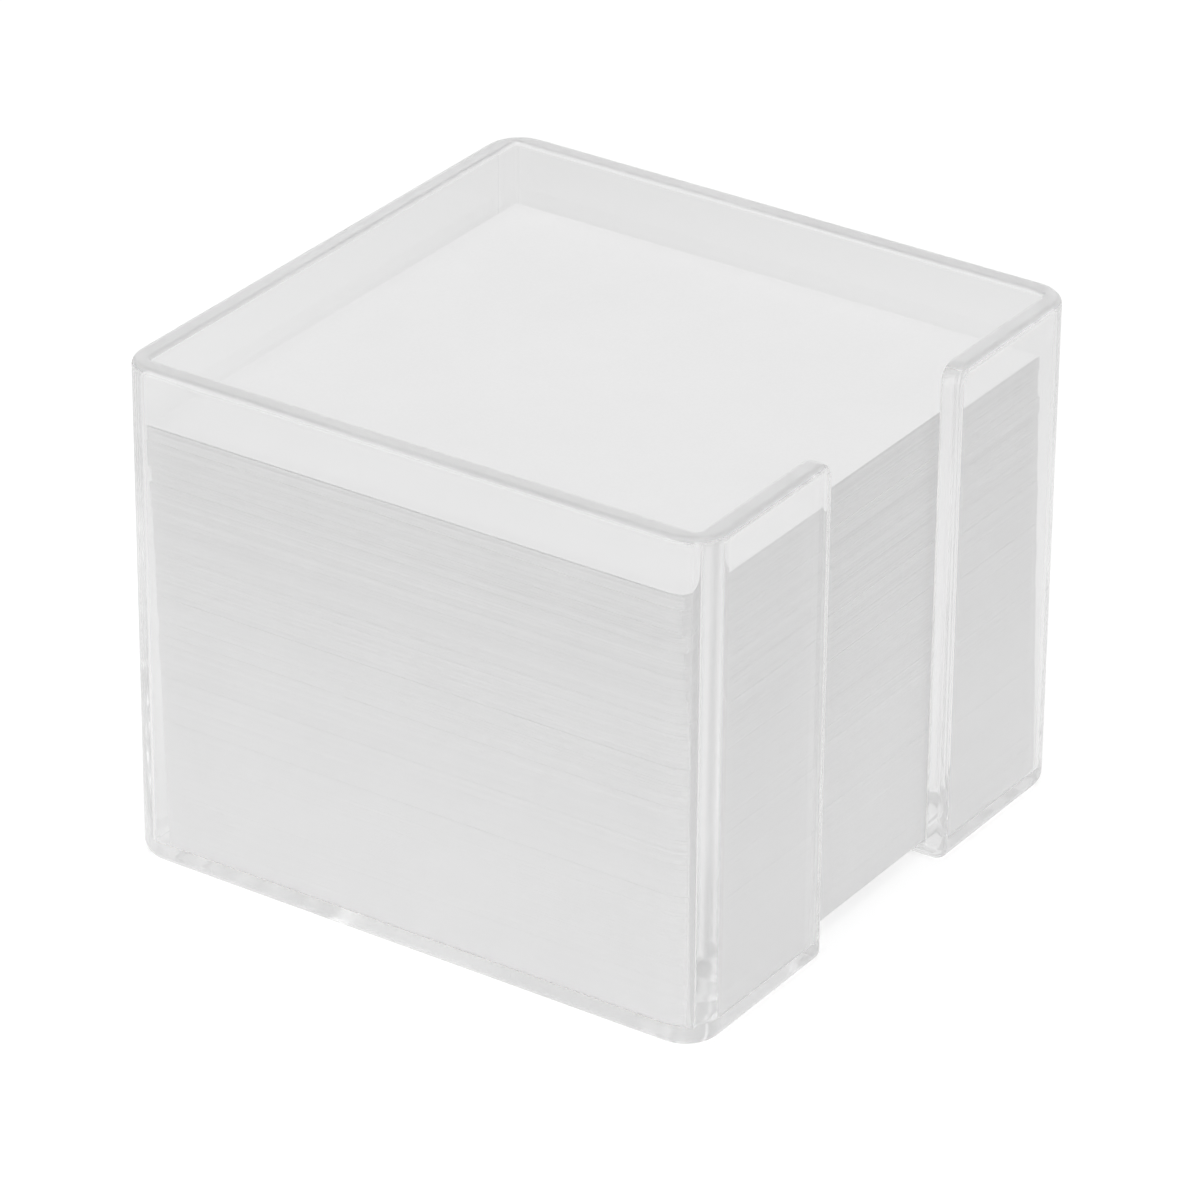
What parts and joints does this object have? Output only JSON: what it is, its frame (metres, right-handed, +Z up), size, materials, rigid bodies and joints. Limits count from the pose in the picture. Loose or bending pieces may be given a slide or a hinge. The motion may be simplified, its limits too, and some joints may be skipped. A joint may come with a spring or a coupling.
{
  "type": "memo box",
  "caption": "Clear open-topped memo box with rounded corners and a full-height front finger slot, filled with a loose stack of square note sheets that lift out",
  "frame": {"origin": "on the table, under the middle of the box's outline", "axes": "+Z up out of the open top, -Y out of the front wall with the finger slot, +X to the right seen from the front"},
  "size_m": [0.098, 0.1, 0.0804],
  "materials": {
    "clear_plastic": "clear moulded polystyrene, polished inside and out",
    "note_paper": "plain white uncoated writing paper"
  },
  "bodies": {
    "box": {"clear_box": "clear_plastic"},
    "lower_sheets": {"sheet_lift_01": "note_paper", "sheet_lift_02": "note_paper", "sheet_lift_03": "note_paper", "sheet_lift_04": "note_paper", "sheet_lift_05": "note_paper", "sheet_lift_06": "note_paper", "sheet_lift_07": "note_paper", "sheet_lift_08": "note_paper"},
    "middle_sheets": {"sheet_lift_09": "note_paper", "sheet_lift_10": "note_paper", "sheet_lift_11": "note_paper", "sheet_lift_12": "note_paper", "sheet_lift_13": "note_paper", "sheet_lift_14": "note_paper", "sheet_lift_15": "note_paper"},
    "upper_sheets": {"sheet_lift_16": "note_paper", "sheet_lift_17": "note_paper", "sheet_lift_18": "note_paper", "sheet_lift_19": "note_paper", "sheet_lift_20": "note_paper", "third_sheet": "note_paper", "second_sheet": "note_paper"},
    "top_sheet": {"top_sheet": "note_paper"}
  },
  "joints": [
    {"name": "lower_sheets_lift_out", "type": "slide", "parent": "box", "child": "lower_sheets", "axis": [0, 0, 1], "range_m": [0, 0.085]},
    {"name": "middle_sheets_lift_out", "type": "slide", "parent": "lower_sheets", "child": "middle_sheets", "axis": [0, 0, 1], "range_m": [0, 0.056]},
    {"name": "upper_sheets_lift_out", "type": "slide", "parent": "middle_sheets", "child": "upper_sheets", "axis": [0, 0, 1], "range_m": [0, 0.031]},
    {"name": "top_sheet_lift_off", "type": "slide", "parent": "upper_sheets", "child": "top_sheet", "axis": [0, 0, 1], "range_m": [0, 0.014]}
  ]
}
